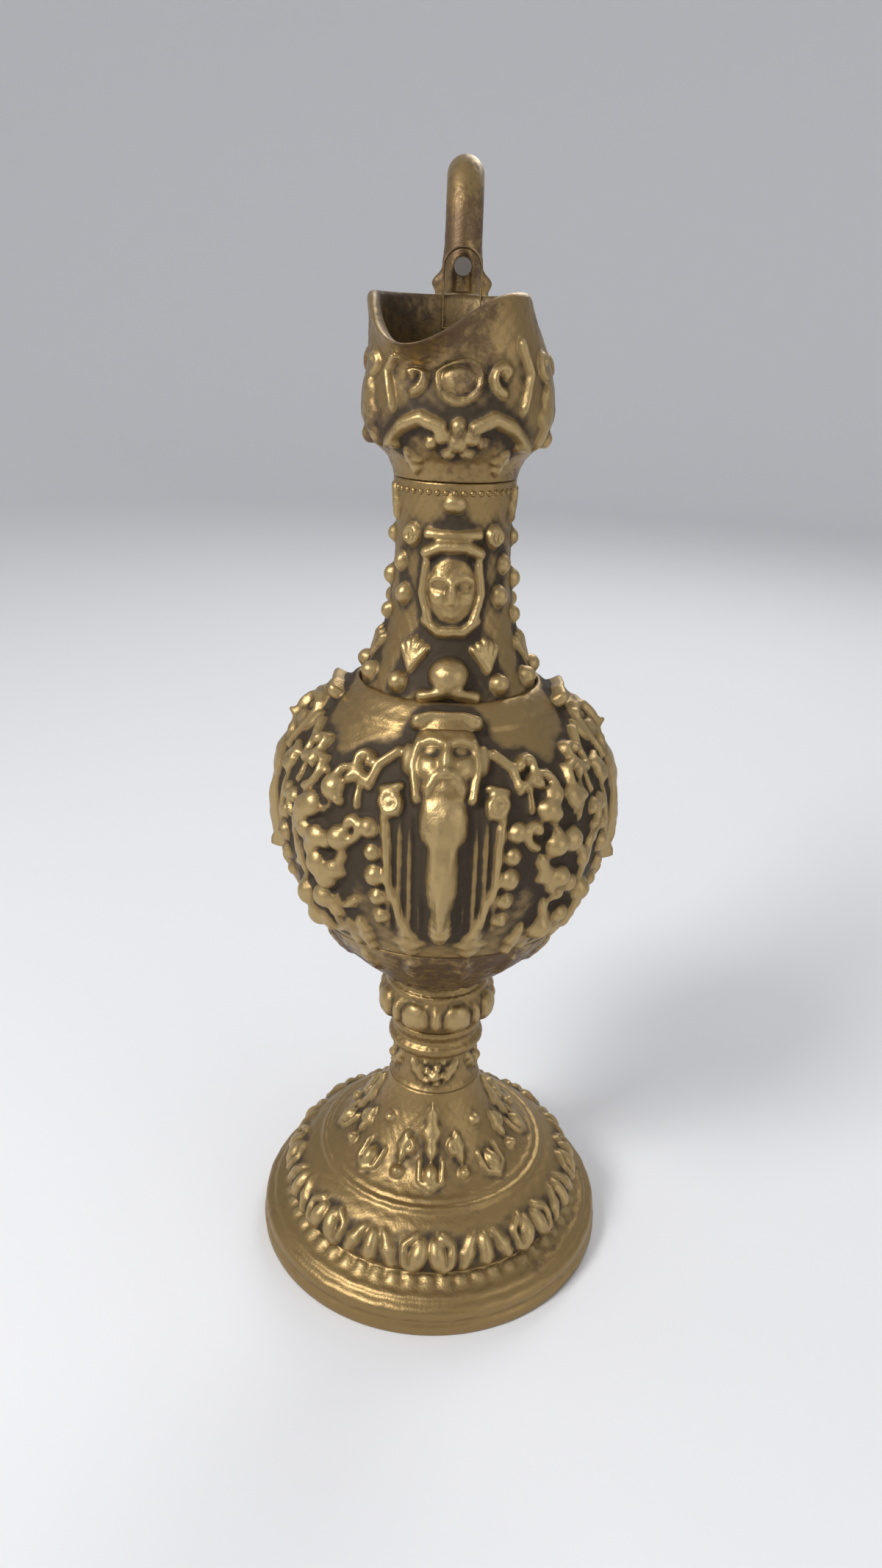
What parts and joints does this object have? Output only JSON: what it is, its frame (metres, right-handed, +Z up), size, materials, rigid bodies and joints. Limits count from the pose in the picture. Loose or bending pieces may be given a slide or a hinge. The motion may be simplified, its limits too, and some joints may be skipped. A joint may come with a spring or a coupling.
{
  "type": "ornamental ewer",
  "caption": "Ornamental cast iron pitcher on a round domed foot, with a relief drum belly, narrow neck, drawn-out pouring lip and an arched handle.",
  "frame": {"origin": "middle of the foot's underside, on the surface it stands on", "axes": "+Z up along the ewer's axis, front of the ewer towards -Y, handle towards +Y"},
  "size_m": [0.112, 0.112, 0.3221],
  "materials": {
    "gilded_iron": "worn old gold paint, satin",
    "dark_iron": "dark brown, rough",
    "fastening_steel": "dull steel"
  },
  "bodies": {
    "root": {"foot": "gilded_iron", "stem": "gilded_iron", "knop": "gilded_iron", "belly_dish": "dark_iron", "belly": "gilded_iron", "shoulder": "gilded_iron", "neck": "gilded_iron", "mouth": "gilded_iron", "handle": "gilded_iron", "handle_pin": "fastening_steel", "tie_rod": "fastening_steel", "foot_washer": "fastening_steel", "foot_nut": "fastening_steel", "belly_washer": "fastening_steel", "belly_nut": "fastening_steel", "bridge": "fastening_steel", "top_nut": "fastening_steel", "neck_screw_1": "fastening_steel", "neck_screw_2": "fastening_steel", "neck_screw_3": "fastening_steel", "handle_screw": "fastening_steel"}
  },
  "joints": []
}
